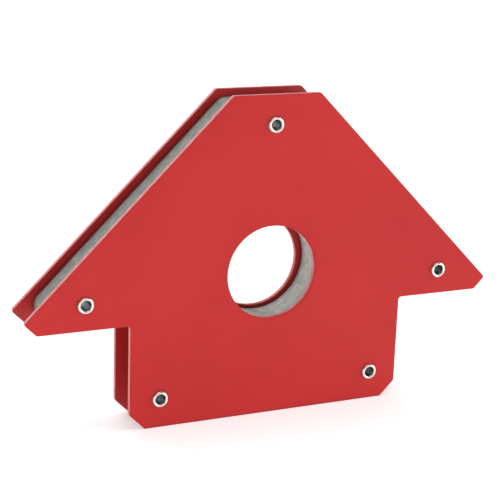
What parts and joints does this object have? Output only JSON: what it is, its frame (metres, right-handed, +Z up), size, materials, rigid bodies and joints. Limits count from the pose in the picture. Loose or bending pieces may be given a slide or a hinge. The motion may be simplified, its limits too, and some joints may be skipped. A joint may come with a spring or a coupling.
{
  "type": "magnetic welding holder",
  "caption": "Arrow-shaped magnetic welding holder: red steel plates riveted over a grey core that carries magnets, with a round centre hole.",
  "frame": {"origin": "middle of the base, on the plane that the plates' bottom edges stand on", "axes": "+X along the width, +Y from the front plate to the rear plate, +Z up from the base edge to the arrow's top"},
  "size_m": [0.155, 0.017, 0.1009],
  "materials": {
    "red_powder_coat": "satin",
    "cast_aluminium": "matte",
    "ferrite": "matte",
    "plated_rivet": "satin",
    "sleeve_steel": "satin"
  },
  "bodies": {
    "root": {"front_plate": "red_powder_coat", "rear_plate": "red_powder_coat", "core_casting": "cast_aluminium", "magnet_upper": "ferrite", "magnet_lower": "ferrite", "magnet_left": "ferrite", "magnet_right": "ferrite", "rivet_top": "plated_rivet", "rivet_left_wing": "plated_rivet", "rivet_right_wing": "plated_rivet", "rivet_left_foot": "plated_rivet", "rivet_right_foot": "plated_rivet", "spacer_sleeve_left": "sleeve_steel", "spacer_sleeve_right": "sleeve_steel"}
  },
  "joints": []
}
